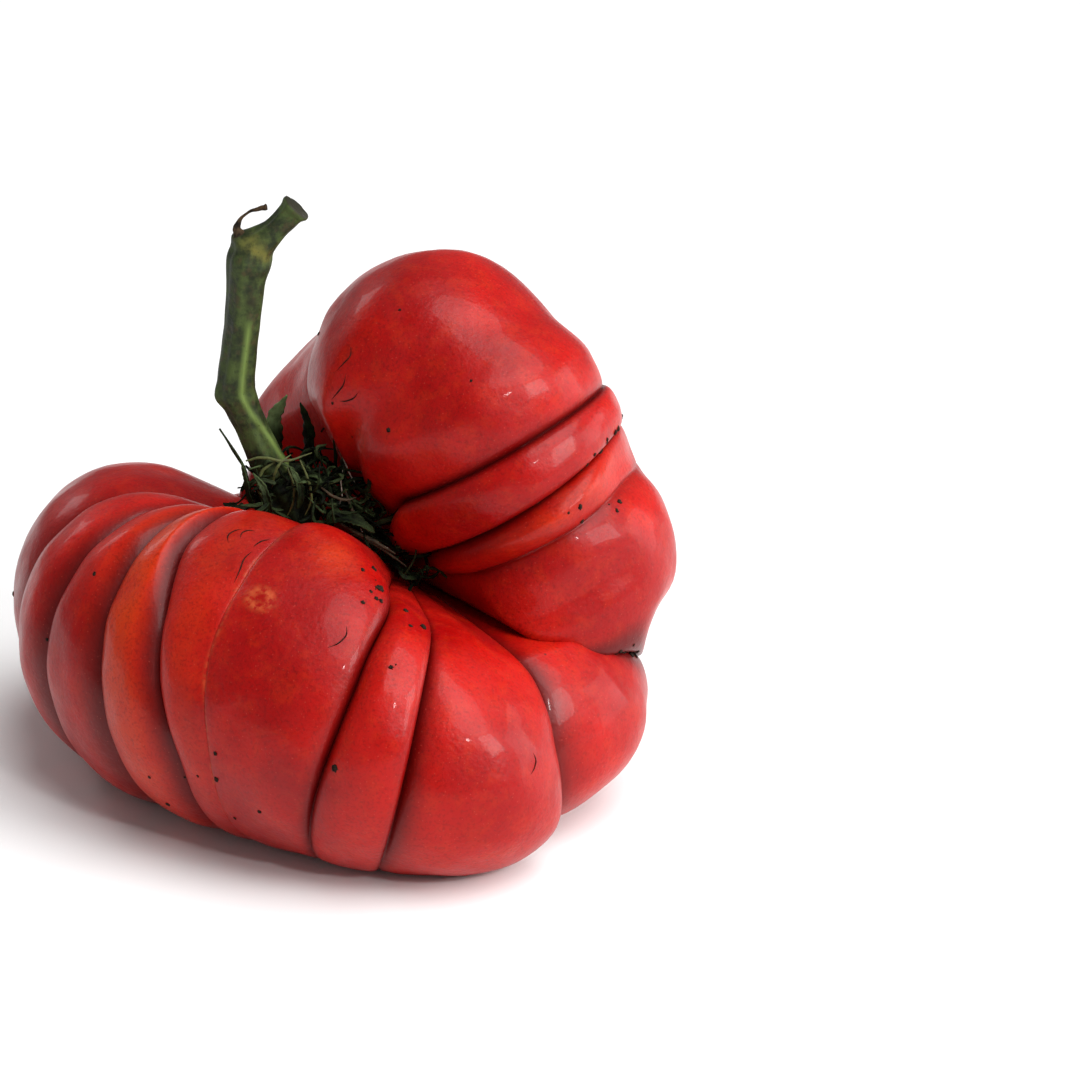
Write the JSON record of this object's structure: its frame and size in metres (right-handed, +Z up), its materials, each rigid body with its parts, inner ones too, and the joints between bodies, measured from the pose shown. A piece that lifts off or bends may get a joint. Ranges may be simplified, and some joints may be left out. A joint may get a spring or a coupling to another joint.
{
  "type": "ribbed heirloom tomato",
  "caption": "Whole ribbed heirloom tomato, folded over a deep stem hollow, with its dry calyx and a stub of stem, resting on a small flat spot.",
  "frame": {"origin": "on the surface the tomato rests on, below the middle of its bounding box", "axes": "+Z up; +X to the right along the longest side of the fruit, from the left end of the low front arm to the foot of the raised arm; +Y to the back, away from the big front rib"},
  "size_m": [0.1344, 0.1239, 0.1195],
  "materials": {
    "skin": "waxy, glossy deep red skin",
    "stem": "matt, mottled dark green",
    "calyx": "matt, dry, very dark green",
    "dry_twig": "matt, dry dark brown"
  },
  "bodies": {
    "root": {"fruit": "skin", "stem": "stem", "side_twig": "dry_twig", "calyx_base": "calyx", "sepal_01": "calyx", "sepal_02": "calyx", "sepal_03": "calyx", "sepal_04": "calyx", "sepal_05": "calyx", "sepal_06": "calyx", "sepal_07": "calyx", "sepal_08": "calyx", "sepal_09": "calyx", "sepal_10": "calyx", "sepal_11": "calyx", "sepal_12": "calyx"}
  },
  "joints": []
}
